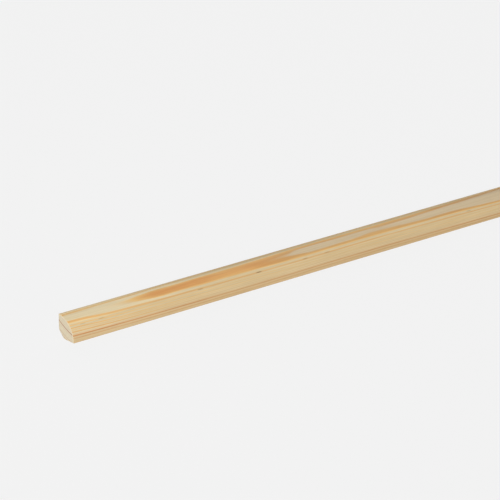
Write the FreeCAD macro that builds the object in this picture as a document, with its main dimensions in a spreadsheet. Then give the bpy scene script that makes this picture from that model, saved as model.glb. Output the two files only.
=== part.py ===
import FreeCAD, Part
import math
import os
import Sketcher

# Quarter round moulding: one length of planed pine, lying on its flat base.
# +X runs along the length, +Y is the back that goes against a wall, +Z is up.
# The origin is under the middle of the length, on the base and halfway across it.

FINISHED_NAME = "quarter_round_moulding"

# Driving sizes in millimetres, as a timber merchant would list them.
SIZES = {
    "stock_length": 2400.0,
    "leg_width": 19.0,
    "back_cut": 6.3,
    "cut_rounding": 5.0,
    "arris_radius": 0.25,
}

# How a sketch numbers the points of a line or an arc, and its own origin and axis.
START, END, CENTRE = range(1, 4)
ROOT = (-1, START)
H_AXIS = ROOT[0]

ALONG = FreeCAD.Vector(1, 0, 0)
QUARTER_TURN = math.pi / 2


def write_sizes(doc):
    """Lists each driving size in the sheet, with its name as the cell's alias."""
    sheet = doc.addObject("Spreadsheet::Sheet", "Sizes")
    for row, (name, value) in enumerate(SIZES.items(), start=1):
        sheet.set(f"A{row}", name)
        sheet.set(f"B{row}", str(value))
        sheet.setAlias(f"B{row}", name)
    doc.recompute()
    return sheet


def origin_plane(body, role):
    """Finds one of the body's own origin planes."""
    return next(item for item in body.Origin.OriginFeatures if item.Role == role)


def add_section(body, sheet):
    """Draws the section: two square legs, the quarter arc between their tips, and an even cut
    across the back corner, which keeps the piece clear of a filled or uneven corner."""
    sketch = body.newObject("Sketcher::SketchObject", "Section")
    sketch.AttachmentSupport = [(origin_plane(body, "YZ_Plane"), "")]
    sketch.MapMode = "FlatFace"

    leg = sheet.leg_width
    cut = sheet.back_cut
    corner = FreeCAD.Vector(leg / 2, 0, 0)
    crest = corner + FreeCAD.Vector(0, leg, 0)
    toe = corner - FreeCAD.Vector(leg, 0, 0)
    cut_top = corner + FreeCAD.Vector(0, cut, 0)
    cut_foot = corner - FreeCAD.Vector(cut, 0, 0)
    struck = Part.Circle(corner, FreeCAD.Vector(0, 0, 1), leg)

    base = sketch.addGeometry(Part.LineSegment(cut_foot, toe))
    face = sketch.addGeometry(Part.ArcOfCircle(struck, QUARTER_TURN, 2 * QUARTER_TURN))
    back = sketch.addGeometry(Part.LineSegment(crest, cut_top))
    relief = sketch.addGeometry(Part.LineSegment(cut_top, cut_foot))

    # The outline is closed: base, toe, round face, crest, back and the cut corner.
    for first, first_end, second, second_end in (
        (base, END, face, END),
        (face, START, back, START),
        (back, END, relief, START),
        (relief, END, base, START),
    ):
        sketch.addConstraint(
            Sketcher.Constraint("Coincident", first, first_end, second, second_end)
        )
    sketch.addConstraint(Sketcher.Constraint("Vertical", back))
    sketch.addConstraint(Sketcher.Constraint("PointOnObject", base, START, H_AXIS))
    sketch.addConstraint(Sketcher.Constraint("PointOnObject", base, END, H_AXIS))

    # The arc is struck from the corner that the cut takes off, so both legs are its radius.
    sketch.addConstraint(Sketcher.Constraint("PointOnObject", face, CENTRE, H_AXIS))
    sketch.addConstraint(Sketcher.Constraint("PointOnObject", face, CENTRE, back))

    sized = {
        "leg": (("Radius", face, leg), "Sizes.leg_width"),
        "half": (("DistanceX", *ROOT, face, CENTRE, leg / 2), "Sizes.leg_width / 2"),
        "cut_up": (("DistanceY", face, CENTRE, back, END, cut), "Sizes.back_cut"),
        "cut_along": (("DistanceX", base, START, face, CENTRE, cut), "Sizes.back_cut"),
    }
    for name, (constraint, expression) in sized.items():
        index = sketch.addConstraint(Sketcher.Constraint(*constraint))
        sketch.renameConstraint(index, name)
        sketch.setExpression(f"Constraints.{name}", expression)
    return sketch


def add_length(body, sketch):
    """Runs the section along the length, half of it each way."""
    pad = body.newObject("PartDesign::Pad", "Length")
    pad.Profile = sketch
    pad.SideType = "Symmetric"
    pad.setExpression("Length", "Sizes.stock_length")
    return pad


def runs_along(edge):
    """Tells a straight edge that runs the length from the edges of the two end cuts."""
    if not isinstance(edge.Curve, Part.Line):
        return False
    return edge.Curve.Direction.cross(ALONG).Length < edge.Tolerance


def long_edges(shape, corner, away):
    """Names the edges that run the length at one distance from the uncut back corner."""
    return [
        f"Edge{number}"
        for number, edge in enumerate(shape.Edges, start=1)
        if runs_along(edge)
        and abs(edge.CenterOfMass.distanceToPoint(corner) - away) < edge.Tolerance
    ]


def round_edges(body, name, base, edges, size):
    """Rounds the named edges of a feature to one of the sheet's sizes."""
    rounded = body.newObject("PartDesign::Fillet", name)
    rounded.Base = (base, edges)
    rounded.setExpression("Radius", f"Sizes.{size}")
    return rounded


def make_moulding(doc, sheet):
    """Builds the one piece of stock: the plain section's length, the back cut's two corners
    rounded off, and the tips of the legs eased as the sander leaves them. The end cuts stay sharp."""
    body = doc.addObject("PartDesign::Body", "Moulding")
    body.Label = FINISHED_NAME
    corner = FreeCAD.Vector(0, sheet.leg_width / 2, 0)

    pad = add_length(body, add_section(body, sheet))
    doc.recompute()
    cut_edges = long_edges(pad.Shape, corner, sheet.back_cut)
    soft_cut = round_edges(body, "RoundedCut", pad, cut_edges, "cut_rounding")
    doc.recompute()
    tip_edges = long_edges(soft_cut.Shape, corner, sheet.leg_width)
    round_edges(body, "EasedArrises", soft_cut, tip_edges, "arris_radius")
    doc.recompute()
    return body


def check(doc, body):
    """Stops the build if a feature failed or the piece isn't one sound solid."""
    for item in doc.Objects:
        if "Invalid" in item.State or "Error" in item.State:
            raise RuntimeError(f"{item.Label} failed: {item.State}")
    if body.Shape.isNull() or not body.Shape.isValid() or len(body.Shape.Solids) != 1:
        raise RuntimeError(f"{body.Label} is not one valid solid")


def main():
    doc = FreeCAD.newDocument("QuarterRound")
    moulding = make_moulding(doc, write_sizes(doc))
    check(doc, moulding)
    os.makedirs("parts", exist_ok=True)
    moulding.Shape.exportStep(f"parts/{moulding.Label}.step")


main()
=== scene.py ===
import functools
import math
import operator
from typing import NamedTuple

import bpy
import numpy as np
from mathutils import Matrix, Vector


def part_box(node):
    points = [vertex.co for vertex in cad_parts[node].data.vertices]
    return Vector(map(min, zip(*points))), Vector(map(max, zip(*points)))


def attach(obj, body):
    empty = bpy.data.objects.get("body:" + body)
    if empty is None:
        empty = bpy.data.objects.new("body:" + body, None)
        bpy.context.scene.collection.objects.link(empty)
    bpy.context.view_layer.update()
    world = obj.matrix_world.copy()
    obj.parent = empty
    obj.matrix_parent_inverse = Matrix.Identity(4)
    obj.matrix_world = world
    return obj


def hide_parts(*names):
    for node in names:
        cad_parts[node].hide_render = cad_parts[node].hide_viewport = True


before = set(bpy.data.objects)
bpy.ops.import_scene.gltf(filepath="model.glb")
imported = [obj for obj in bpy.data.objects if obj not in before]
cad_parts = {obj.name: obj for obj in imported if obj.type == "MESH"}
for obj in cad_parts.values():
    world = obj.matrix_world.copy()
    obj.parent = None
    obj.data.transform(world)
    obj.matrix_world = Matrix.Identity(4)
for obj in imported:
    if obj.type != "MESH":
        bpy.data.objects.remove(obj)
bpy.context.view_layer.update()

bl_info = {
    "name": "Quarter Round Moulding",
    "version": (1, 0, 0),
    "blender": (4, 5, 0),
    "location": "View3D > Sidebar > Moulding",
    "description": "Builds a length of bare pine quarter round and the studio that shows it",
    "category": "Add Mesh",
}

NODE = "quarter_round_moulding"
LOW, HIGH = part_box(NODE)

MM = 0.001
PER_METRE = 1000.0
PHOTO_PIXELS = 500
WHITE = (1.0, 1.0, 1.0)
ORIGIN = Vector((0.0, 0.0, 0.0))
QUARTER_TURN = math.pi / 2

# Steps round the section's arcs: a leg's tip, the round face, and a corner of the back cut.
TIP_STEPS = 8
FACE_STEPS = 48
CUT_STEPS = 12

# The stage: half the floor's side in metres, the way to each light, how wide the two suns look,
# and the spot's distance and size in metres, its cone and the share of the cone that fades.
FLOOR_REACH = 40.0
FRONT = Vector((-0.60, -0.68, 0.42)).normalized()
REAR = Vector((0.60, 0.79, 0.08)).normalized()
SUN_WIDTH = math.radians(30)
REAR_WIDTH = math.radians(60)
SPOT_DISTANCE = 3.0
SPOT_SIZE = 0.4
SPOT_CONE = math.radians(20)
SPOT_FADE = 1.0

# The camera's sensor in millimetres, and how far it sees in metres.
SENSOR = 36.0
SIGHT = 100.0

# The baked picture, in shares of its side: one strip's height, one end cut's size, where the
# second end cut starts, and the gaps.
BAKE_STRIP = 0.278
BAKE_CAP = 0.12
BAKE_SECOND_CAP = 0.5
BAKE_GAP = 0.008


def srgb(red, green, blue):
    """Scene colour of an 8-bit display colour, by the sRGB curve."""
    shares = np.array((red, green, blue)) / 255
    return tuple(np.where(shares > 0.04045, ((shares + 0.055) / 1.055) ** 2.4, shares / 12.92))


def between(share, start, stop):
    """Goes from start to stop while the share goes from 0 to 1."""
    return start + share * (stop - start)


class Streaks(NamedTuple):
    """Noise that is drawn out along the stick: the millimetres over which it changes, along and
    across, the number of its finer layers, and how rough they make it."""

    along: float
    across: float
    layers: float = 2.0
    roughness: float = 0.5


class Ring(NamedTuple):
    """The dark latewood of one growth ring, by its depth in millimetres from the ring that the round
    face touches at the seen end: where it starts to show, where it stops and how softly, how
    strongly it shows, the share that lasts past the seen end, and whether resin soaks it."""

    inner: float
    outer: float
    soft: float
    strength: float
    lasting: float = 1.0
    resinous: bool = False


RINGS = (
    Ring(-7.10, -6.40, 0.20, 0.70),
    Ring(-5.50, -4.70, 0.20, 0.80),
    Ring(-3.50, -2.95, 0.20, 0.80),
    Ring(-1.38, -0.92, 0.50, 1.00, resinous=True),
    Ring(0.04, 0.70, 0.24, 0.64),
    Ring(1.45, 1.90, 0.12, 0.42, lasting=0.45),
    Ring(2.60, 3.15, 0.12, 0.48, lasting=0.41),
    Ring(3.55, 3.95, 0.12, 0.22, lasting=0.7),
    Ring(4.35, 5.00, 0.12, 0.50, lasting=0.42),
    Ring(5.40, 6.00, 0.20, 0.20),
    Ring(6.00, 7.10, 0.30, 0.90, lasting=0.72),
    Ring(7.95, 8.80, 0.25, 0.48, lasting=0.75),
    Ring(10.70, 11.70, 0.30, 0.16),
    Ring(12.15, 13.15, 0.20, 0.60),
    Ring(13.95, 14.95, 0.20, 0.60),
    Ring(15.75, 16.75, 0.20, 0.60),
)

# How far the rings run out of the surface along the length: metres from the seen end, and
# the millimetres by which deeper rings have come up there.
RUN_OUT = (
    (0.000, 0.16),
    (0.020, 0.30),
    (0.032, 0.49),
    (0.060, 0.65),
    (0.080, 0.82),
    (0.095, 0.95),
    (0.115, 1.06),
    (0.140, 1.28),
    (0.200, 1.46),
    (0.250, 1.60),
    (0.300, 1.52),
    (0.350, 1.60),
    (0.400, 1.79),
    (0.450, 2.32),
    (0.520, 2.95),
    (0.680, 3.20),
    (0.900, 2.30),
    (1.120, 1.80),
    (1.360, 2.50),
    (1.600, 3.70),
    (1.820, 3.30),
    (2.050, 2.30),
    (2.240, 2.60),
    (2.400, 3.10),
)

# The same for the outer rings, which run out at a pace of their own.
OUTER_RUN_OUT = (
    (0.000, 0.00),
    (0.050, 0.75),
    (0.100, 1.15),
    (0.200, 1.40),
    (0.280, 1.07),
    (0.360, 1.40),
    (0.450, 2.00),
    (0.560, 2.35),
    (0.700, 2.15),
    (0.950, 1.45),
    (1.200, 1.55),
    (1.500, 2.55),
    (1.750, 2.85),
    (2.000, 2.05),
    (2.200, 1.85),
    (2.400, 2.35),
)

# Where resin has soaked deeper into the orange ring: metres from the seen end, and how fully.
RESIN_SOAK = (
    (0.000, 1.00),
    (0.160, 1.00),
    (0.195, 0.65),
    (0.230, 0.62),
    (0.244, 0.00),
    (0.300, 0.00),
    (0.325, 0.52),
    (0.345, 0.48),
    (0.365, 0.25),
    (0.390, 0.10),
    (0.430, 0.34),
    (0.520, 0.00),
    (1.020, 0.00),
    (1.080, 1.00),
    (1.170, 1.00),
    (1.230, 0.00),
    (2.000, 0.00),
    (2.060, 0.90),
    (2.110, 0.00),
    (2.400, 0.00),
)

# Where resin has spread out of that ring: metres from the seen end, and how fully.
RESIN_SPREAD = (
    (0.000, 0.79),
    (0.070, 0.75),
    (0.086, 0.92),
    (0.100, 0.66),
    (0.140, 0.24),
    (0.160, 0.08),
    (0.185, 0.08),
    (0.215, 0.29),
    (2.400, 0.29),
)

# How strongly that ring shows: metres from the seen end, and the share.
RESIN_SHARE = (
    (0.000, 0.00),
    (0.015, 0.00),
    (0.030, 0.08),
    (0.045, 0.21),
    (0.060, 0.33),
    (0.070, 0.51),
    (0.079, 0.90),
    (0.090, 1.00),
    (0.135, 1.00),
    (0.162, 0.74),
    (0.180, 0.76),
    (0.205, 0.95),
    (0.245, 0.86),
    (0.360, 0.84),
    (0.420, 0.92),
    (0.500, 0.94),
    (0.600, 0.86),
    (1.050, 0.84),
    (1.120, 1.00),
    (1.250, 0.86),
    (2.000, 0.80),
    (2.070, 1.00),
    (2.150, 0.85),
    (2.400, 0.85),
)

# Short resin flecks in the round face: metres from the seen end, and how dark each one is.
RESIN_FLECKS = (
    (0.012, 0.20),
    (0.030, 0.25),
    (0.129, 0.40),
    (0.190, 0.80),
    (0.240, 0.35),
    (0.264, 0.30),
    (0.427, 0.30),
)


class MouldingSizes(bpy.types.PropertyGroup):
    """Sizes of the stick, as the frame gives them."""

    length: bpy.props.FloatProperty(
        name="Length", description="Length from end to end", default=HIGH.x - LOW.x, unit="LENGTH"
    )
    leg: bpy.props.FloatProperty(
        name="Leg", description="Width of the base, and radius of the round face", default=2 * HIGH.y,
        unit="LENGTH",
    )
    back_cut: bpy.props.FloatProperty(
        name="Back Cut", description="How far the back corner is cut off along each leg", default=6.3 * MM,
        unit="LENGTH",
    )
    cut_rounding: bpy.props.FloatProperty(
        name="Cut Rounding", description="Radius of the back cut's two rounded corners",
        default=5.0 * MM, unit="LENGTH",
    )
    arris: bpy.props.FloatProperty(
        name="Arris", description="Radius of the eased tips of the legs", default=0.25 * MM, unit="LENGTH"
    )
    rim: bpy.props.FloatProperty(
        name="Rim", description="Radius of the worn edge round each end cut", default=0.2 * MM,
        unit="LENGTH",
    )


class PineLook(bpy.types.PropertyGroup):
    """Grain and colours of the bare pine, and the painted shade on its crest."""

    pith_reach: bpy.props.FloatProperty(
        name="Pith Reach", description="Distance of the tree's pith from the uncut back corner",
        default=84 * MM, unit="LENGTH",
    )
    pith_angle: bpy.props.FloatProperty(
        name="Pith Angle", description="Lean of the pith from upright, seen from the back corner",
        default=math.radians(27.8), subtype="ANGLE",
    )
    inner_early: bpy.props.FloatVectorProperty(
        name="Inner Earlywood", description="Grey-beige wood of the inmost rings", subtype="COLOR",
        default=srgb(213, 192, 157),
    )
    pale_early: bpy.props.FloatVectorProperty(
        name="Pale Earlywood", description="Pale straw wood between the two orange rings", subtype="COLOR",
        default=srgb(229, 211, 172),
    )
    bright_early: bpy.props.FloatVectorProperty(
        name="Bright Earlywood", description="Yellow wood that starts the next ring", subtype="COLOR",
        default=srgb(236, 209, 157),
    )
    warm_early: bpy.props.FloatVectorProperty(
        name="Warm Earlywood", description="Warm straw wood of the outer rings", subtype="COLOR",
        default=srgb(214, 190, 146),
    )
    tan_early: bpy.props.FloatVectorProperty(
        name="Tan Earlywood", description="Darker wood of the outmost rings", subtype="COLOR",
        default=srgb(206, 177, 131),
    )
    orange_late: bpy.props.FloatVectorProperty(
        name="Orange Latewood", description="Resin-rich latewood of the inner rings", subtype="COLOR",
        default=srgb(217, 156, 92),
    )
    umber_late: bpy.props.FloatVectorProperty(
        name="Umber Latewood", description="Latewood of the inner rings along the rest of the length",
        subtype="COLOR", default=srgb(206, 156, 97),
    )
    gold_late: bpy.props.FloatVectorProperty(
        name="Gold Latewood", description="Bright latewood of the next ring, near the seen end",
        subtype="COLOR", default=srgb(231, 168, 98),
    )
    brown_late: bpy.props.FloatVectorProperty(
        name="Brown Latewood", description="Latewood of that ring along the rest of the length",
        subtype="COLOR", default=srgb(204, 152, 98),
    )
    red_late: bpy.props.FloatVectorProperty(
        name="Red Latewood", description="Red-brown latewood of the outer rings", subtype="COLOR",
        default=srgb(194, 120, 55),
    )
    russet_late: bpy.props.FloatVectorProperty(
        name="Russet Latewood", description="Latewood of the outer rings along the rest of the length",
        subtype="COLOR", default=srgb(183, 117, 52),
    )
    amber_edge: bpy.props.FloatVectorProperty(
        name="Amber Edge", description="Golden wood where the latewood starts", subtype="COLOR",
        default=srgb(235, 196, 128),
    )
    # Painted shade: a brownish tint that darkens the wood towards the crest, where the top faces get less
    # light.
    crest_painted_shade: bpy.props.FloatVectorProperty(
        name="Crest Painted Shade", description="Tint that darkens the wood towards the crest", subtype="COLOR",
        default=srgb(228, 222, 212),
    )
    fleck: bpy.props.FloatVectorProperty(
        name="Resin Fleck", description="Dark resin in the short flecks", subtype="COLOR",
        default=srgb(120, 92, 56),
    )
    end_grain: bpy.props.FloatVectorProperty(
        name="End Grain", description="Sawn ends of the fibres", subtype="COLOR",
        default=srgb(225, 212, 184),
    )
    # A paler, warmer rim painted where an end cut meets the round face.
    end_rim: bpy.props.FloatVectorProperty(
        name="End Rim", description="Paler frayed fibres where an end cut meets the round face",
        subtype="COLOR", default=srgb(243, 226, 192),
    )
    end_late: bpy.props.FloatVectorProperty(
        name="End Latewood", description="Dense latewood in the sawn ends", subtype="COLOR",
        default=srgb(160, 76, 36),
    )


class StudioLook(bpy.types.PropertyGroup):
    """The floor, the light and the camera."""

    backdrop: bpy.props.FloatVectorProperty(
        name="Backdrop", description="Pale grey of the floor and the air behind it", subtype="COLOR",
        default=srgb(242, 242, 242),
    )
    shadow_share: bpy.props.FloatProperty(
        name="Shadow Share", description="How much of the floor's shadow the camera sees", default=0.1,
        subtype="FACTOR",
    )
    floor_glow: bpy.props.FloatProperty(
        name="Floor Glow", description="Brightness of the rest of the floor that the camera sees",
        default=1.028,
    )
    sky_strength: bpy.props.FloatProperty(
        name="Sky Strength", description="Strength of the even light from all round", default=0.42
    )
    key_power: bpy.props.FloatProperty(
        name="Key Power", description="Power of the soft spot on the seen end", default=107.0,
        unit="POWER",
    )
    sun_strength: bpy.props.FloatProperty(
        name="Sun Strength", description="Strength of the soft light along the whole length", default=1.33
    )
    rear_strength: bpy.props.FloatProperty(
        name="Rear Strength", description="Strength of the low light on the back", default=1.5
    )
    camera_azimuth: bpy.props.FloatProperty(
        name="Camera Azimuth", description="Turn of the camera towards the seen end",
        default=math.radians(40.38), subtype="ANGLE",
    )
    camera_elevation: bpy.props.FloatProperty(
        name="Camera Elevation", description="How far the camera looks down",
        default=math.radians(19.60), subtype="ANGLE",
    )
    camera_distance: bpy.props.FloatProperty(
        name="Camera Distance", description="Depth from the camera to the crest of the seen end",
        default=2.168, unit="LENGTH",
    )
    focal_length: bpy.props.FloatProperty(
        name="Focal Length", description="Lens of the camera in millimetres, on a 36 mm sensor",
        default=203.15,
    )
    crest_pixel: bpy.props.FloatVectorProperty(
        name="Crest Pixel", description="Where the seen end's crest lies in the picture, in pixels",
        size=2, default=(58.57, 313.67),
    )


class Signal:
    """A value that flows out of one socket. Arithmetic on it adds Math nodes to its tree."""

    def __init__(self, tree, socket):
        self.tree = tree
        self.socket = socket

    def output(self, name):
        """Another output of the same node."""
        return Signal(self.tree, self.socket.node.outputs[name])

    def __add__(self, other):
        return self.tree.math("ADD", self, other)

    def __sub__(self, other):
        return self.tree.math("SUBTRACT", self, other)

    def __rsub__(self, other):
        return self.tree.math("SUBTRACT", other, self)

    def __mul__(self, other):
        return self.tree.math("MULTIPLY", self, other)

    def __truediv__(self, other):
        return self.tree.math("DIVIDE", self, other)

    def __rtruediv__(self, other):
        return self.tree.math("DIVIDE", other, self)

    __radd__ = __add__
    __rmul__ = __mul__


class Wiring:
    """The node tree of one material or world, built a node at a time."""

    # A Mix node's sockets for its two colours, and its output for their mix.
    FIRST_COLOUR, SECOND_COLOUR, MIXED_COLOUR = 6, 7, 2

    def __init__(self, owner):
        owner.use_nodes = True
        self.nodes = owner.node_tree.nodes
        self.links = owner.node_tree.links
        self.nodes.clear()

    def node(self, kind, settings=None, sockets=None, output=0):
        """Adds a node, makes its settings, then fills its sockets with values or links."""
        made = self.nodes.new(kind)
        for name, value in (settings or {}).items():
            if name == "points":
                self._set_points(made.mapping, value)
            else:
                setattr(made, name, value)
        for name, value in (sockets or {}).items():
            if isinstance(value, Signal):
                self.links.new(value.socket, made.inputs[name])
            else:
                made.inputs[name].default_value = value
        return Signal(self, made.outputs[output]) if made.outputs else None

    @staticmethod
    def _set_points(mapping, points):
        """Draws a curve node's line through the points."""
        curve = mapping.curves[0]
        while len(curve.points) < len(points):
            curve.points.new(1.0, 1.0)
        for point, place in zip(curve.points, points):
            point.location = place
        mapping.update()

    def split(self, vector):
        """The three parts of a vector."""
        parts = self.node("ShaderNodeSeparateXYZ", {}, {"Vector": vector})
        return parts.output("X"), parts.output("Y"), parts.output("Z")

    def math(self, operation, *values):
        """One Math node."""
        return self.node("ShaderNodeMath", {"operation": operation}, dict(enumerate(values)))

    def vector(self, operation, *values, output="Vector"):
        """One Vector Math node."""
        sockets = dict(enumerate(values))
        return self.node("ShaderNodeVectorMath", {"operation": operation}, sockets, output)

    def step(self, value, start, stop):
        """Goes smoothly from 0 where value is start to 1 where it is stop."""
        return self.node(
            "ShaderNodeMapRange",
            {"interpolation_type": "SMOOTHSTEP"},
            {"Value": value, "From Min": start, "From Max": stop},
        )

    def mix(self, share, first, second, blend="MIX"):
        """Mixes two colours."""
        return self.node(
            "ShaderNodeMix",
            {"data_type": "RGBA", "blend_type": blend},
            {"Factor": share, self.FIRST_COLOUR: first, self.SECOND_COLOUR: second},
            self.MIXED_COLOUR,
        )

    def colour(self, red, green, blue):
        """A colour from its three parts."""
        return self.node("ShaderNodeCombineColor", {}, {"Red": red, "Green": green, "Blue": blue})

    def noise(self, place, streaks):
        """Noise of 0 to 1, drawn out along X."""
        size = (streaks.along, streaks.across, streaks.across)
        return self.node(
            "ShaderNodeTexNoise",
            {},
            {
                "Vector": self.vector("DIVIDE", place, size),
                "Scale": 1.0,
                "Detail": streaks.layers,
                "Roughness": streaks.roughness,
            },
        )

    def waver(self, place, streaks):
        """The same noise about zero, from minus a half to a half."""
        return self.noise(place, streaks) - 0.5

    def seen(self):
        """1 in what the camera sees, straight, mirrored or through glass, and 0 in what lights."""
        path = self.node("ShaderNodeLightPath", output="Is Camera Ray")
        mirrored = self.math("MAXIMUM", path, path.output("Is Glossy Ray"))
        return self.math("MAXIMUM", mirrored, path.output("Is Transmission Ray"))


def rgba(colour):
    """The colour with full alpha, as a socket takes it."""
    return (*colour, 1.0)


class PineGrain:
    """The inside of the stick, as one field that every face cuts through. Lengths, along the stick
    and across it, are in millimetres."""

    # How far from the seen end the bright wood fades, the end's own look fades, and the inner
    # rings' lines turn from orange to umber.
    BRIGHT_FADES = (10.0, 95.0)
    END_FADES = (60.0, 170.0)
    ORANGE_FADES = (165.0, 235.0)

    # Where the crest starts and is full, in from the back and down from the top, how much of a ring
    # fades there, and the depths over which the rings start to do so.
    CREST_ASIDE = (7.0, 0.5)
    CREST_BELOW = (3.5, 1.5)
    CREST_FADE = 0.8
    FADING_RINGS = (-0.5, -0.1)

    # The most that the run-out can be, the depths over which that of the outer rings takes over, the
    # inner rings' twist at the seen end and where it stops, and two wavers of every ring.
    RUN_OUT_MOST = 4.0
    OUTER_RINGS = (1.0, 7.0)
    TWIST = math.radians(3.8)
    TWIST_ENDS = 55.0
    SLOW_STREAKS = Streaks(90.0, 9.0)
    SLOW_WAVER = 0.22
    FEATHER_STREAKS = Streaks(50.0, 0.6)
    FEATHER_WAVER = 0.2

    # The resin: how ragged its ends are at the seen end and past it, how they slant before and
    # after a stretch of the length, from where aside they slant, and how far resin soaks inwards
    # and spreads outwards.
    RAGGED_STREAKS = Streaks(25.0, 3.0)
    RAGGED = (12.0, 30.0)
    SLANTS = (1.5, -5.0)
    SLANT_TURNS = (255.0, 300.0)
    SLANT_FROM = 9.0
    SOAK_DEPTH = 0.45
    SPREAD_DEPTH = 0.42

    # The resin on the crest's side: where aside that starts and is full, how much less it spreads
    # there, and how much deeper it soaks before and after a stretch of the length.
    CREST_SIDE = (8.0, 5.0)
    TRIM_DEPTH = 0.2
    CREST_SOAKS = (0.07, 0.22)
    CREST_SOAK_DEEPENS = (330.0, 375.0)

    # The depths between which one tint gives way to the next.
    INNER_TO_PALE = (-1.5, -0.9)
    PALE_TO_BRIGHT = (0.3, 0.7)
    BRIGHT_TO_WARM = (0.8, 1.6)
    WARM_TO_TAN = (7.0, 7.6)
    ORANGE_TO_NEXT = (-0.4, 0.0)
    NEXT_TO_RED = (1.0, 5.0)

    # How much of the pale and bright tints is lost past the seen end, and how warm and how tan the
    # outer wood already is there.
    PALE_LOST = 0.8
    BRIGHT_LOST = 0.9
    WARM_AT_END = 0.6
    TAN_AT_END = 0.65

    # The amber where latewood starts: the depths where it comes and goes, how far soaked resin
    # brings it in, how much sooner it goes past the seen end, the latewood that makes it full, and
    # how much of it the outer rings lack at the seen end and past it.
    AMBER_COMES = (-1.3, -1.0)
    AMBER_GOES = (4.8, 5.6)
    AMBER_SOAK = 0.5
    AMBER_SOONER = 1.2
    AMBER_FULL = 0.25
    AMBER_LOST = (0.25, 0.5)

    # The flecks' line on the round face, and half their length and width.
    FLECK_ANGLE = math.radians(50.3)
    FLECK_AHEAD = 4.0
    FLECK_ASIDE = 0.6

    def __init__(self, tree, sizes, look):
        self.tree = tree
        self.look = look
        self.length = sizes.length * PER_METRE
        self.leg = sizes.leg * PER_METRE
        place = tree.node("ShaderNodeTexCoord", output="Object")
        self.place = tree.vector("MULTIPLY", place, (PER_METRE,) * 3)
        self.across = tree.vector("MULTIPLY", self.place, (0.0, 1.0, 1.0))
        self.corner = (0.0, self.leg / 2, 0.0)
        x, y, self.height = tree.split(self.place)
        self.along = x + self.length / 2
        self.aside = self.leg / 2 - y
        self.below_top = self.leg - self.height
        self.past_bright = tree.step(self.along, *self.BRIGHT_FADES)
        self.past_end = tree.step(self.along, *self.END_FADES)
        self.near_crest = tree.step(self.aside, *self.CREST_ASIDE) * tree.step(
            self.below_top, *self.CREST_BELOW
        )
        raggedness = between(self.past_end, *self.RAGGED)
        slant = between(tree.step(self.along, *self.SLANT_TURNS), *self.SLANTS)
        slanted = self.along + (self.SLANT_FROM - self.aside) * slant
        self.ragged = slanted + tree.waver(self.place, self.RAGGED_STREAKS) * raggedness
        self.soak = self.curve(RESIN_SOAK, self.ragged)
        self.depth = self.ring_depth()

    def curve(self, points, along, most=1.0):
        """A curve along the length through the listed points, whose heights go up to most."""
        shares = [(place * PER_METRE / self.length, height / most) for place, height in points]
        drawn = self.tree.node("ShaderNodeFloatCurve", {"points": shares}, {"Value": along / self.length})
        return drawn * most

    def ring_depth(self):
        """Distance from the pith, less that of the ring which touches the round face, less the
        run-out along the length, plus two wavers: growth in millimetres, outwards. The outer rings
        have a run-out of their own, and the inner rings are twisted towards the seen end."""
        tree = self.tree
        reach = self.look.pith_reach * PER_METRE
        lean = self.look.pith_angle
        touching = reach - self.leg
        pith = (0.0, self.leg / 2 - reach * math.sin(lean), reach * math.cos(lean))
        straight = tree.vector("DISTANCE", self.across, pith, output="Value") - touching
        is_outer = tree.step(straight, *self.OUTER_RINGS)
        twist = tree.step(self.along, self.TWIST_ENDS, 0.0) * (1 - is_outer) * self.TWIST
        turned = tree.node(
            "ShaderNodeVectorRotate",
            {"rotation_type": "X_AXIS"},
            {"Vector": self.across, "Center": self.corner, "Angle": twist},
        )
        grown = tree.vector("DISTANCE", turned, pith, output="Value") - touching
        inner = self.curve(RUN_OUT, self.along, self.RUN_OUT_MOST)
        outer = self.curve(OUTER_RUN_OUT, self.along, self.RUN_OUT_MOST)
        run_out = between(is_outer, inner, outer)
        slow = tree.waver(self.place, self.SLOW_STREAKS) * self.SLOW_WAVER
        feather = tree.waver(self.place, self.FEATHER_STREAKS) * self.FEATHER_WAVER
        return grown - run_out + slow + feather

    def latewood(self):
        """Share of dark latewood: each ring darkens slowly outwards, then stops. Some rings are
        weaker past the seen end, and one is soaked with resin."""
        tree = self.tree
        bands = []
        for ring in RINGS:
            start, stop = ring.inner, ring.outer
            strength = between(self.past_bright, ring.strength, ring.strength * ring.lasting)
            if ring.resinous:
                crest_side = tree.step(self.aside, *self.CREST_SIDE)
                deeper = tree.step(self.along, *self.CREST_SOAK_DEEPENS)
                crest_soak = between(deeper, *self.CREST_SOAKS)
                trim = crest_side * self.soak * self.past_end
                start = start - self.soak * self.SOAK_DEPTH - crest_side * crest_soak
                stop = stop + self.curve(RESIN_SPREAD, self.along) * self.SPREAD_DEPTH
                stop = stop - trim * self.TRIM_DEPTH
                strength = strength * self.curve(RESIN_SHARE, self.ragged)
            rise = tree.step(self.depth, start, start + (ring.outer - ring.inner) / 2)
            fall = tree.step(self.depth, stop + ring.soft / 2, stop - ring.soft / 2)
            bands.append(rise * fall * strength)
        return functools.reduce(operator.add, bands)

    def crest_fade(self):
        """How much of a ring shows: all but the inmost rings are weaker at the crest."""
        return 1 - self.tree.step(self.depth, *self.FADING_RINGS) * self.near_crest * self.CREST_FADE

    def earlywood_tint(self):
        """The tint between the dark rings, from the inmost rings outwards."""
        tree, look, depth = self.tree, self.look, self.depth
        warm_share = between(self.past_bright, self.WARM_AT_END, 1)
        warm = tree.mix(warm_share, rgba(look.pale_early), rgba(look.warm_early))
        pale = tree.mix(self.past_end * self.PALE_LOST, rgba(look.pale_early), warm)
        bright = tree.mix(self.past_bright * self.BRIGHT_LOST, rgba(look.bright_early), warm)
        tan_share = between(self.past_end, self.TAN_AT_END, 1)
        tan = tree.mix(tan_share, warm, rgba(look.tan_early))
        tint = tree.mix(tree.step(depth, *self.INNER_TO_PALE), rgba(look.inner_early), pale)
        tint = tree.mix(tree.step(depth, *self.PALE_TO_BRIGHT), tint, bright)
        tint = tree.mix(tree.step(depth, *self.BRIGHT_TO_WARM), tint, warm)
        return tree.mix(tree.step(depth, *self.WARM_TO_TAN), tint, tan)

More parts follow.
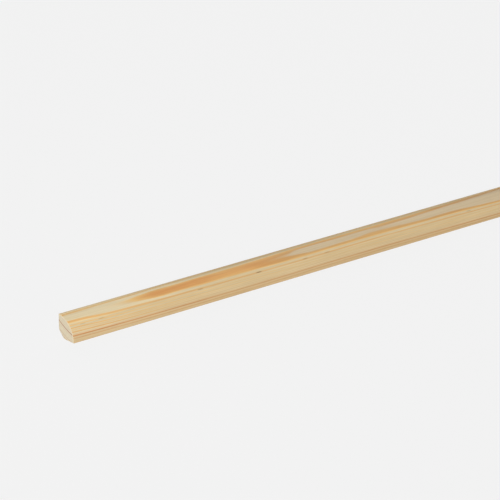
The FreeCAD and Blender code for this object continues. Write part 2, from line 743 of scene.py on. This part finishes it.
    def latewood_tint(self):
        """The tint of the dark rings, from the inmost ones outwards."""
        tree, look, depth = self.tree, self.look, self.depth
        past_orange = tree.step(self.along, *self.ORANGE_FADES)
        inmost = tree.mix(past_orange, rgba(look.orange_late), rgba(look.umber_late))
        golden = (1 - self.past_bright) * (1 - self.near_crest)
        following = tree.mix(golden, rgba(look.brown_late), rgba(look.gold_late))
        tint = tree.mix(tree.step(depth, *self.ORANGE_TO_NEXT), inmost, following)
        outmost = tree.mix(self.past_end, rgba(look.red_late), rgba(look.russet_late))
        return tree.mix(tree.step(depth, *self.NEXT_TO_RED), tint, outmost)

    def wood_colour(self, latewood):
        """Earlywood mixed with latewood, by way of amber where the latewood starts."""
        tree, depth = self.tree, self.depth
        comes = tree.step(depth + self.soak * self.AMBER_SOAK, *self.AMBER_COMES)
        goes = tree.step(depth + self.past_end * self.AMBER_SOONER, *self.AMBER_GOES)
        lost = tree.step(depth, *self.ORANGE_TO_NEXT) * between(self.past_end, *self.AMBER_LOST)
        amber = tree.step(latewood, 0.0, self.AMBER_FULL) * comes * (1 - goes) * (1 - lost)
        early = tree.mix(amber, self.earlywood_tint(), rgba(self.look.amber_edge))
        return tree.mix(latewood, early, self.latewood_tint())

    def flecks(self):
        """Share of resin: short ellipses along one line of the round face."""
        tree = self.tree
        angle = tree.math("ARCTAN2", self.aside, self.height)
        aside = (angle - self.FLECK_ANGLE) * (self.leg / self.FLECK_ASIDE)
        spots = []
        for place, dark in RESIN_FLECKS:
            ahead = (self.along - place * PER_METRE) / self.FLECK_AHEAD
            spots.append(tree.step(ahead * ahead + aside * aside, 1.0, 0.0) * dark)
        return functools.reduce(operator.add, spots)


class PlanedFinish:
    """How much the planed faces vary: streaks of resin in the dark rings, fibres and patches of
    light and dark, and streaks of tone that move the blue most. Painted shade darkens the crest
    from one depth below it to another, standing in for the lesser light on the top faces, less so
    at the seen end and deeper past a stretch of the length."""

    RESIN_STREAKS = Streaks(45.0, 2.5)
    RESIN_LEAST = 0.57
    RESIN_RANGE = 0.7
    FIBRES = Streaks(40.0, 0.8, layers=3.0, roughness=0.7)
    FIBRE_SHADE = 0.34
    PATCHES = Streaks(160.0, 7.0)
    PATCH_SHADE = 0.07
    LEAST_SHADE = 0.795
    TONE_STREAKS = Streaks(60.0, 1.4, layers=3.0, roughness=0.7)
    TONE_RANGE = (0.16, 0.27, 0.46)
    # Painted shade on the crest: the depths below the top where it starts and is full, the stretch over
    # which it starts deeper, by how much, and its share at the seen end.
    CREST_PAINTED_SHADE = (0.7, 0.03)
    CREST_PAINTED_SHADE_DEEPENS = (340.0, 460.0)
    CREST_PAINTED_SHADE_DEEPER = 0.8
    CREST_PAINTED_SHADE_AT_END = 0.4
    ROUGHNESS = 0.66
    LATEWOOD_SHEEN = 0.1
    SPECULAR = 0.35
    FIBRE_HEIGHT = 0.6
    LATEWOOD_HEIGHT = 0.4
    BUMP_STRENGTH = 0.35
    BUMP_DISTANCE = 0.04 * MM


class SawnFinish:
    """How much the end cuts vary: fine pores, rings that are faint but for the darkest, and a paler
    rim painted along the round face, from one depth below the round face to another."""

    PORES = Streaks(0.25, 0.25, roughness=0.7)
    PORE_SHADE = 0.14
    LEAST_SHADE = 0.93
    FAINT_RING = 0.16
    DARK_RING = 0.56
    DARK_RING_FROM = (0.4, 0.85)
    PALE_RIM = (1.4, 0.2)
    ROUGHNESS = 0.8
    SPECULAR = 0.25
    BUMP_STRENGTH = 0.5
    BUMP_DISTANCE = 0.06 * MM


def end_in_wood(tree, finish, colour, roughness, height):
    """Ends a tree in bare wood of the given colour and roughness, raised by the height."""
    bump = tree.node(
        "ShaderNodeBump",
        {},
        {"Strength": finish.BUMP_STRENGTH, "Distance": finish.BUMP_DISTANCE, "Height": height},
    )
    surface = tree.node(
        "ShaderNodeBsdfPrincipled",
        {},
        {
            "Base Color": colour,
            "Roughness": roughness,
            "Specular IOR Level": finish.SPECULAR,
            "Normal": bump,
        },
    )
    tree.node("ShaderNodeOutputMaterial", {}, {"Surface": surface})


def planed_pine(sizes, look):
    """The long faces: rings in section, fine fibres and resin flecks."""
    finish = PlanedFinish
    material = bpy.data.materials.new("planed_pine")
    tree = Wiring(material)
    grain = PineGrain(tree, sizes, look)
    resin = tree.noise(grain.place, finish.RESIN_STREAKS) * finish.RESIN_RANGE + finish.RESIN_LEAST
    latewood = grain.latewood() * grain.crest_fade() * resin
    colour = grain.wood_colour(latewood)
    # Painted shade: the crest's brownish tint is multiplied into the colour, standing in for less light on
    # the top faces.
    painted_shade_share = between(grain.past_end, finish.CREST_PAINTED_SHADE_AT_END, 1)
    deeper = tree.step(grain.along, *finish.CREST_PAINTED_SHADE_DEEPENS) * finish.CREST_PAINTED_SHADE_DEEPER
    painted_shade_starts, painted_shade_full = finish.CREST_PAINTED_SHADE
    crest = tree.step(grain.below_top, deeper + painted_shade_starts, painted_shade_full) * painted_shade_share
    colour = tree.mix(crest, colour, rgba(look.crest_painted_shade), "MULTIPLY")
    fibre = tree.noise(grain.place, finish.FIBRES)
    patchy = tree.noise(grain.place, finish.PATCHES)
    shade = fibre * finish.FIBRE_SHADE + patchy * finish.PATCH_SHADE + finish.LEAST_SHADE
    streak = tree.waver(grain.place, finish.TONE_STREAKS)
    tone = tree.colour(*(shade + streak * tone_range for tone_range in finish.TONE_RANGE))
    colour = tree.mix(1.0, colour, tone, "MULTIPLY")
    colour = tree.mix(grain.flecks(), colour, rgba(look.fleck))
    roughness = finish.ROUGHNESS - latewood * finish.LATEWOOD_SHEEN
    height = fibre * finish.FIBRE_HEIGHT + latewood * finish.LATEWOOD_HEIGHT
    end_in_wood(tree, finish, colour, roughness, height)
    return material


def sawn_pine(sizes, look):
    """The two end cuts: the same rings end on, paler and rougher, with open pores and a paler,
    warmer rim painted along the round face."""
    finish = SawnFinish
    material = bpy.data.materials.new("sawn_end_grain")
    tree = Wiring(material)
    grain = PineGrain(tree, sizes, look)
    latewood = grain.latewood()
    dark = tree.step(latewood, *finish.DARK_RING_FROM)
    line = latewood * finish.FAINT_RING + dark * finish.DARK_RING
    colour = tree.mix(line, rgba(look.end_grain), rgba(look.end_late))
    from_corner = tree.vector("DISTANCE", grain.across, grain.corner, output="Value")
    # A paler, warmer rim painted near the round face.
    rim = tree.step(grain.leg - from_corner, *finish.PALE_RIM)
    colour = tree.mix(rim, colour, rgba(look.end_rim))
    pores = tree.noise(grain.place, finish.PORES)
    shade = pores * finish.PORE_SHADE + finish.LEAST_SHADE
    colour = tree.mix(1.0, colour, tree.colour(shade, shade, shade), "MULTIPLY")
    end_in_wood(tree, finish, colour, finish.ROUGHNESS, pores)
    return material


class Arc(NamedTuple):
    """One arc of the section: its centre, its radius, the turns of its normal at its two ends, its
    steps, and whether it carries on from the end of the arc before it, with no flat between."""

    centre: tuple
    radius: float
    start: float
    stop: float
    steps: int
    carries_on: bool = False


def section_outline(sizes):
    """The section as five arcs whose ends the flats join: crest, round face, toe, and the two
    rounded corners of the back cut. A point is its arc's centre plus the radius times its normal,
    and the normal turns once round. Returns points and normals, as (across, up) pairs."""
    leg, cut, arris, rounding = sizes.leg, sizes.back_cut, sizes.arris, sizes.cut_rounding
    back = leg / 2
    reach = math.sqrt((leg - arris) ** 2 - arris**2)
    lean = math.atan2(arris, reach)
    half_bend = QUARTER_TURN / 4
    ease = rounding * math.tan(half_bend)
    upward, frontward, downward, backward = QUARTER_TURN * np.arange(1, 5)
    cut_way = (downward + backward) / 2
    arcs = (
        Arc((back - arris, reach), arris, 0.0, upward + lean, TIP_STEPS),
        Arc((back, 0.0), leg, upward + lean, frontward - lean, FACE_STEPS, carries_on=True),
        Arc((back - reach, arris), arris, frontward - lean, downward, TIP_STEPS, carries_on=True),
        Arc((back - cut - ease, rounding), rounding, downward, cut_way, CUT_STEPS),
        Arc((back - rounding, cut + ease), rounding, cut_way, backward, CUT_STEPS),
    )
    points, normals = [], []
    for arc in arcs:
        turn = np.linspace(arc.start, arc.stop, arc.steps + 1)
        if arc.carries_on:
            turn = turn[1:]
        normal = np.stack((np.cos(turn), np.sin(turn)), 1)
        points.append(np.array(arc.centre) + arc.radius * normal)
        normals.append(normal)
    return np.concatenate(points), np.concatenate(normals)


class StickRows:
    """The rows of points along the stick: out from the pole of one end cut, round its rim, along
    the length and back to the pole of the other end. Each row has a place along, an inset from
    the outline, a share of the outline's size, and a turn of its normals towards the end."""

    # Rows in an end cut, steps round its rim, rows along the body between the rims, and the strips
    # that the body makes in the baked picture.
    CAP, RIM, BODY = 6, 3, 97
    STRIPS = 3

    def __init__(self, sizes):
        half, rim = sizes.length / 2, sizes.rim
        turn = np.linspace(QUARTER_TURN, 0.0, self.RIM + 1)
        cap_share = np.linspace(0.0, 1.0, self.CAP + 1)[:-1]
        body = np.linspace(-half + rim, half - rim, self.BODY)[1:-1]
        rim_place = half - rim * (1 - np.sin(turn))
        rim_inset = rim * (1 - np.cos(turn))
        flat = np.zeros_like(body)
        self.place = np.concatenate(
            (np.full(self.CAP, -half), -rim_place, body, rim_place[::-1], np.full(self.CAP, half))
        )
        self.inset = np.concatenate(
            (np.full(self.CAP, rim), rim_inset, flat, rim_inset[::-1], np.full(self.CAP, rim))
        )
        self.share = np.concatenate(
            (cap_share, np.ones(2 * self.RIM + self.BODY), cap_share[::-1])
        )
        facing = np.full(self.CAP, QUARTER_TURN)
        self.turn = np.concatenate((-facing, -turn, flat, turn[::-1], facing))

    def on_cap(self, quad_row):
        """Tells which rows of quads lie in an end cut."""
        return (quad_row < self.CAP) | (quad_row >= len(self.place) - 1 - self.CAP)


def stick_arrays(sizes):
    """Carries the outline along the rows: each point is the section's middle plus the row's share
    of (outline less inset times normal less middle), at the row's place along. Returns the points,
    the normals and the rows."""
    outline, outward = section_outline(sizes)
    rows = StickRows(sizes)
    middle = outline.mean(0)
    inset = outline[None] - rows.inset[:, None, None] * outward[None]
    across = middle + rows.share[:, None, None] * (inset - middle)
    along = np.broadcast_to(rows.place[:, None, None], (*across.shape[:2], 1))
    points = np.concatenate((along, across), 2)
    aside = np.cos(rows.turn)[:, None, None] * outward[None]
    ahead = np.broadcast_to(np.sin(rows.turn)[:, None, None], (*aside.shape[:2], 1))
    normals = np.concatenate((ahead, aside), 2)
    return points, normals, rows


def quad_corners(field):
    """The four corners of each quad, in the order of its face, from a field on the closed grid."""
    return np.stack((field[:-1, :-1], field[:-1, 1:], field[1:, 1:], field[1:, :-1]), 2)


def closed(field):
    """Repeats the first column of a field after its last one."""
    return np.concatenate((field, field[:, :1]), 1)


def adding_up(steps):
    """The way travelled at the start and after each step."""
    return np.concatenate(((0.0,), np.cumsum(steps)))


def strip_places(points, rows, sizes):
    """The picture places of the long faces' quads: strips one above another, where a corner lies as
    far along as the way travelled from its strip's start, and as far up as the way round the
    section."""
    quad_row = np.arange(len(rows.place) - 1)
    strips = np.arange(rows.STRIPS)
    stride = (rows.BODY - 1) // rows.STRIPS
    starts = rows.CAP + strips * stride + rows.RIM * (strips > 0)
    strip = np.clip(np.searchsorted(starts, quad_row, "right") - 1, 0, rows.STRIPS - 1)
    travel = adding_up(np.hypot(np.diff(rows.place), np.diff(rows.inset)))
    both_rims = sizes.rim * 2 * QUARTER_TURN
    longest = travel[-1] / rows.STRIPS + both_rims
    first = (travel[:-1] - travel[starts[strip]]) / longest
    second = (travel[1:] - travel[starts[strip]]) / longest
    along = np.stack((first, first, second, second), 1)[:, None]

    outline = closed(points[None, rows.CAP, :, 1:])[0]
    girth = adding_up(np.linalg.norm(np.diff(outline, axis=0), axis=1))
    round_share = girth / girth[-1]
    around = np.stack((round_share[:-1], round_share[1:], round_share[1:], round_share[:-1]), 1)
    height = strip[:, None, None] * (BAKE_STRIP + BAKE_GAP) + BAKE_GAP + around[None] * BAKE_STRIP
    along = np.broadcast_to(BAKE_GAP + along * (1 - 2 * BAKE_GAP), height.shape)
    return np.stack((along, height), 3)


def cap_places(points, rows, sizes):
    """The picture places of the end cuts' points: each cut as it is, side by side above the
    strips."""
    count = len(rows.place)
    foot = rows.STRIPS * (BAKE_STRIP + BAKE_GAP) + BAKE_GAP
    from_toe = points[..., 1:] + np.array((sizes.leg / 2, 0.0))
    is_second = (np.arange(count) > count // 2)[:, None, None]
    start = np.where(is_second, (BAKE_SECOND_CAP, foot), (BAKE_GAP, foot))
    return closed(from_toe / sizes.leg * BAKE_CAP + start)


def bake_layout(points, rows, sizes):
    """The picture place of every face corner: the quads of the long faces and the end cuts, then
    the fans at the two poles."""
    flat = cap_places(points, rows, sizes)
    on_cap = rows.on_cap(np.arange(len(rows.place) - 1))[:, None, None, None]
    quads = np.where(on_cap, quad_corners(flat), strip_places(points, rows, sizes))[1:-1]
    pole_first = np.broadcast_to(flat[0, :1], flat[1, 1:].shape)
    pole_last = np.broadcast_to(flat[-1, :1], flat[-2, 1:].shape)
    first_fan = np.stack((pole_first, flat[1, 1:], flat[1, :-1]), 1)
    last_fan = np.stack((flat[-2, :-1], flat[-2, 1:], pole_last), 1)
    return np.concatenate([part.reshape(-1, 2) for part in (quads, first_fan, last_fan)])


def build_stick(sizes, look):
    """Makes the stick's mesh object from its arrays, closed by a fan of triangles at each pole."""
    points, normals, rows = stick_arrays(sizes)
    count, around = points.shape[:2]
    vertices = np.concatenate((points[0, :1], points[1:-1].reshape(-1, 3), points[-1, :1]))
    directions = np.concatenate((normals[0, :1], normals[1:-1].reshape(-1, 3), normals[-1, :1]))
    grid = closed(np.arange((count - 2) * around).reshape(count - 2, around) + 1)
    quads = quad_corners(grid).reshape(-1, 4)
    pole = np.zeros(around, int)
    first_fan = np.stack((pole, grid[0, 1:], grid[0, :-1]), 1)
    last_fan = np.stack((grid[-1, :-1], grid[-1, 1:], pole + len(vertices) - 1), 1)
    mesh = bpy.data.meshes.new(NODE + "_visual")
    mesh.from_pydata(vertices, [], [*quads.tolist(), *first_fan.tolist(), *last_fan.tolist()])
    if mesh.validate():
        raise RuntimeError("the stick's mesh has faulty faces")

    quad_row = np.repeat(np.arange(1, count - 2), around)
    slot = np.concatenate((rows.on_cap(quad_row), np.ones(2 * around, bool))).astype(np.int32)
    mesh.materials.append(planed_pine(sizes, look))
    mesh.materials.append(sawn_pine(sizes, look))
    mesh.polygons.foreach_set("material_index", slot)
    mesh.polygons.foreach_set("use_smooth", np.ones(len(slot), bool))
    mesh.normals_split_custom_set_from_vertices(directions)
    layout = mesh.uv_layers.new(name="OFBake")
    layout.uv.foreach_set("vector", bake_layout(points, rows, sizes).astype(np.float32).ravel())
    mesh.update()
    piece = bpy.data.objects.new("moulding", mesh)
    bpy.context.scene.collection.objects.link(piece)
    return piece


def add_floor(studio):
    """A wide floor under the stick. The camera sees it mostly as the backdrop's flat colour, with a
    share of its real shading, which holds the stick's shadow."""
    mesh = bpy.data.meshes.new("floor")
    corners = np.array([(-1, -1, 0), (1, -1, 0), (1, 1, 0), (-1, 1, 0)]) * FLOOR_REACH
    mesh.from_pydata(corners, [], [(0, 1, 2, 3)])
    floor = bpy.data.objects.new("floor", mesh)
    bpy.context.scene.collection.objects.link(floor)
    material = bpy.data.materials.new("floor_paper")
    tree = Wiring(material)
    paper = tree.node("ShaderNodeBsdfDiffuse", {}, {"Color": rgba(studio.backdrop)})
    glow = tree.node(
        "ShaderNodeEmission", {}, {"Color": rgba(studio.backdrop), "Strength": studio.floor_glow}
    )
    blend = tree.node(
        "ShaderNodeMixShader", {}, {0: tree.seen() * (1 - studio.shadow_share), 1: paper, 2: glow}
    )
    tree.node("ShaderNodeOutputMaterial", {}, {"Surface": blend})
    mesh.materials.append(material)
    return floor


def light_sky(studio):
    """Even light from all round. The camera sees the backdrop's colour instead."""
    world = bpy.data.worlds.new("studio_air")
    tree = Wiring(world)
    sky = tree.node(
        "ShaderNodeBackground", {}, {"Color": rgba(WHITE), "Strength": studio.sky_strength}
    )
    backdrop = tree.node("ShaderNodeBackground", {}, {"Color": rgba(studio.backdrop)})
    blend = tree.node("ShaderNodeMixShader", {}, {0: tree.seen(), 1: sky, 2: backdrop})
    tree.node("ShaderNodeOutputWorld", {}, {"Surface": blend})
    bpy.context.scene.world = world


def hang_lamp(name, kind, energy, towards, distance=0.0, aim=ORIGIN):
    """Adds a lamp that shines on its aim from the given direction."""
    lamp = bpy.data.lights.new(name, kind)
    lamp.energy = energy
    hung = bpy.data.objects.new(name, lamp)
    hung.location = aim + towards * distance
    hung.rotation_euler = towards.to_track_quat("Z", "Y").to_euler()
    bpy.context.scene.collection.objects.link(hung)
    return lamp


def light_stick(studio, sizes):
    """A soft light along the whole length from the front, a soft spot on the seen end, and a low
    light on the back."""
    seen_end = Vector((-sizes.length / 2, 0.0, 0.0))
    hang_lamp("sun", "SUN", studio.sun_strength, FRONT).angle = SUN_WIDTH
    hang_lamp("rear_sun", "SUN", studio.rear_strength, REAR).angle = REAR_WIDTH
    spot = hang_lamp("key_spot", "SPOT", studio.key_power, FRONT, SPOT_DISTANCE, seen_end)
    spot.shadow_soft_size = SPOT_SIZE
    spot.spot_size = SPOT_CONE
    spot.spot_blend = SPOT_FADE


def set_camera(studio, sizes):
    """Stands the camera so that the seen end's crest falls on its pixel of the picture."""
    turn, tilt = studio.camera_azimuth, studio.camera_elevation
    ahead = Vector((math.sin(turn), math.cos(turn), 0.0))
    right = Vector((math.cos(turn), -math.sin(turn), 0.0))
    forward = ahead * math.cos(tilt) - Vector((0.0, 0.0, math.sin(tilt)))
    upward = right.cross(forward)
    lens = bpy.data.cameras.new("camera")
    lens.lens = studio.focal_length
    lens.sensor_width = SENSOR
    lens.clip_end = SIGHT
    pixel = SENSOR / lens.lens / PHOTO_PIXELS
    middle = PHOTO_PIXELS / 2
    crest_across, crest_down = studio.crest_pixel
    aside = (crest_across - middle) * pixel
    above = (middle - crest_down) * pixel
    crest = Vector((-sizes.length / 2, sizes.leg / 2, sizes.leg))
    sight = (forward + right * aside + upward * above) * studio.camera_distance
    camera = bpy.data.objects.new("camera", lens)
    stance = Matrix((right, upward, -forward)).transposed().to_4x4()
    stance.translation = crest - sight
    camera.matrix_world = stance
    bpy.context.scene.collection.objects.link(camera)
    bpy.context.scene.camera = camera


class MOULDING_OT_build_stick(bpy.types.Operator):
    """Build the stick of quarter round in place of its plain solid"""

    bl_idname = "moulding.build_stick"
    bl_label = "Build Stick"

    def execute(self, context):
        piece = build_stick(context.scene.moulding_sizes, context.scene.moulding_look)
        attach(piece, "root")
        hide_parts(NODE)
        return {"FINISHED"}


class MOULDING_OT_set_stage(bpy.types.Operator):
    """Lay the floor, light the studio and stand the camera"""

    bl_idname = "moulding.set_stage"
    bl_label = "Set Stage"

    def execute(self, context):
        scene = context.scene
        add_floor(scene.moulding_studio)
        light_sky(scene.moulding_studio)
        light_stick(scene.moulding_studio, scene.moulding_sizes)
        set_camera(scene.moulding_studio, scene.moulding_sizes)
        scene.view_settings.view_transform = "Standard"
        return {"FINISHED"}


class MOULDING_PT_panel(bpy.types.Panel):
    """Sizes, looks and build steps of the moulding"""

    bl_label = "Quarter Round Moulding"
    bl_idname = "MOULDING_PT_panel"
    bl_space_type = "VIEW_3D"
    bl_region_type = "UI"
    bl_category = "Moulding"

    def draw(self, context):
        layout = self.layout
        for group in ("moulding_sizes", "moulding_look", "moulding_studio"):
            settings = getattr(context.scene, group)
            box = layout.box()
            for name in settings.__annotations__:
                box.prop(settings, name)
        layout.operator(MOULDING_OT_build_stick.bl_idname)
        layout.operator(MOULDING_OT_set_stage.bl_idname)


CLASSES = (
    MouldingSizes,
    PineLook,
    StudioLook,
    MOULDING_OT_build_stick,
    MOULDING_OT_set_stage,
    MOULDING_PT_panel,
)


def register():
    for cls in CLASSES:
        bpy.utils.register_class(cls)
    bpy.types.Scene.moulding_sizes = bpy.props.PointerProperty(type=MouldingSizes)
    bpy.types.Scene.moulding_look = bpy.props.PointerProperty(type=PineLook)
    bpy.types.Scene.moulding_studio = bpy.props.PointerProperty(type=StudioLook)


def unregister():
    del bpy.types.Scene.moulding_studio
    del bpy.types.Scene.moulding_look
    del bpy.types.Scene.moulding_sizes
    for cls in reversed(CLASSES):
        bpy.utils.unregister_class(cls)


def main():
    register()
    bpy.ops.moulding.build_stick()
    bpy.ops.moulding.set_stage()


if __name__ == "__main__":
    main()
